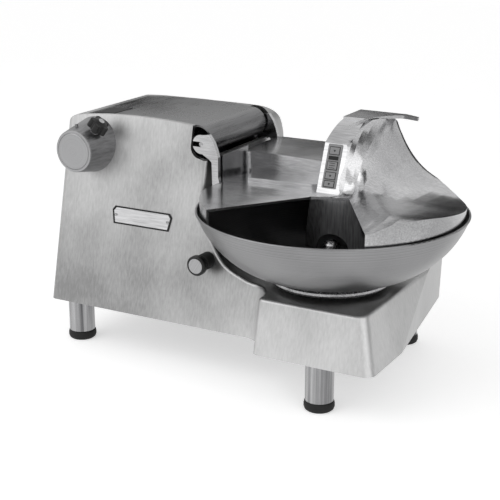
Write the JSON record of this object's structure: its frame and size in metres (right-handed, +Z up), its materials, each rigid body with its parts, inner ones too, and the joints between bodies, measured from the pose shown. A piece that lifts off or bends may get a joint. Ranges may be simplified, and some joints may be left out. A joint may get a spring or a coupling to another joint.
{
  "type": "meat bowl cutter",
  "caption": "Bench-top bowl cutter with a turning stainless bowl, knives under a hinged lid with a high hood, and a power attachment hub.",
  "frame": {"origin": "on the bench plane, under the middle of the machine", "axes": "+Z up, -Y the front face with the switch, +X the bowl end"},
  "size_m": [0.767, 0.512, 0.443],
  "materials": {
    "casting": "satin",
    "stainless": "satin",
    "steel": "satin",
    "plate": "satin",
    "rubber": "matte",
    "motor_paint": "satin",
    "bronze": "satin",
    "black_plastic": "matte"
  },
  "bodies": {
    "machine": {"attachment_hub": "casting", "bottom_cover": "stainless", "cable_gland": "black_plastic", "capacitor": "black_plastic", "data_plate": "plate", "down_shaft_bracket": "steel", "foot_front_left": "rubber", "foot_front_right": "rubber", "foot_rear_left": "rubber", "foot_rear_right": "rubber", "front_plate": "plate", "hinge_brackets": "steel", "hinge_rod": "steel", "housing": "casting", "hub_front_bush": "bronze", "hub_rear_bracket": "steel", "idler_pin": "steel", "knife_bearing": "steel", "knife_bearing_housing": "casting", "leg_front_left": "stainless", "leg_front_right": "stainless", "leg_rear_left": "stainless", "leg_rear_right": "stainless", "motor_bearings": "steel", "motor_bell_left": "motor_paint", "motor_bell_right": "motor_paint", "motor_stator": "motor_paint", "plate_rivets": "steel", "roof_cover": "stainless", "shaft_seal": "rubber", "spindle_bearings": "steel", "spindle_housing": "casting", "switch_body": "black_plastic"},
    "rotor_shaft": {"knife_shaft": "stainless", "rotor": "motor_paint", "worm_down": "steel", "worm_hub": "steel", "knife_spacer": "stainless", "knife_left": "stainless", "knife_right": "stainless", "knife_nut": "stainless"},
    "cross_shaft": {"down_shaft": "steel", "down_wheel": "bronze", "down_pinion": "steel"},
    "idler": {"idler_gear": "steel"},
    "bowl_drive": {"bowl": "stainless", "bowl_nut": "stainless", "turntable": "steel", "bowl_spindle": "steel", "bowl_gear": "steel"},
    "hub_drive": {"hub_spindle": "steel", "hub_wheel": "bronze"},
    "lid": {"bowl_cover": "stainless", "lid_baffle": "stainless", "cover_label": "plate"},
    "switch": {"switch_knob": "black_plastic"},
    "plug": {"hub_plug": "stainless"},
    "thumb_screw": {"hub_thumb_screw": "black_plastic"}
  },
  "joints": [
    {"name": "knife_spin", "type": "hinge", "parent": "machine", "child": "rotor_shaft", "pos_m": [-0.1465, 0.095, 0.322], "axis": [1, 0, 0], "continuous": true},
    {"name": "cross_spin", "type": "hinge", "parent": "machine", "child": "cross_shaft", "pos_m": [-0.1265, 0.045, 0.2], "axis": [0, 0, 1], "continuous": true},
    {"name": "idler_spin", "type": "hinge", "parent": "machine", "child": "idler", "pos_m": [-0.00686, 0.01466, 0.13], "axis": [0, 0, 1], "continuous": true},
    {"name": "bowl_spin", "type": "hinge", "parent": "machine", "child": "bowl_drive", "pos_m": [0.1535, -0.026, 0.2], "axis": [0, 0, 1], "continuous": true},
    {"name": "hub_spin", "type": "hinge", "parent": "machine", "child": "hub_drive", "pos_m": [-0.3195, -0.026, 0.372], "axis": [0, 1, 0], "continuous": true},
    {"name": "lid_hinge", "type": "hinge", "parent": "machine", "child": "lid", "pos_m": [-0.0935, 0.074, 0.396], "axis": [0, -1, 0], "range_deg": [0, 85]},
    {"name": "switch_push", "type": "slide", "parent": "machine", "child": "switch", "axis": [0, 1, 0], "range_m": [0, 0.006]},
    {"name": "plug_pull", "type": "slide", "parent": "machine", "child": "plug", "axis": [0, -1, 0], "range_m": [0, 0.06]},
    {"name": "thumb_turn", "type": "hinge", "parent": "machine", "child": "thumb_screw", "pos_m": [-0.28256, -0.076, 0.41928], "axis": [0.6157, 0, 0.788], "range_deg": [-180, 180]}
  ],
  "couplings": [
    {"joint": "cross_spin", "follows": "knife_spin", "ratio": 0.035714},
    {"joint": "idler_spin", "follows": "knife_spin", "ratio": -0.015961},
    {"joint": "bowl_spin", "follows": "knife_spin", "ratio": 0.016964},
    {"joint": "hub_spin", "follows": "knife_spin", "ratio": 0.035714}
  ]
}
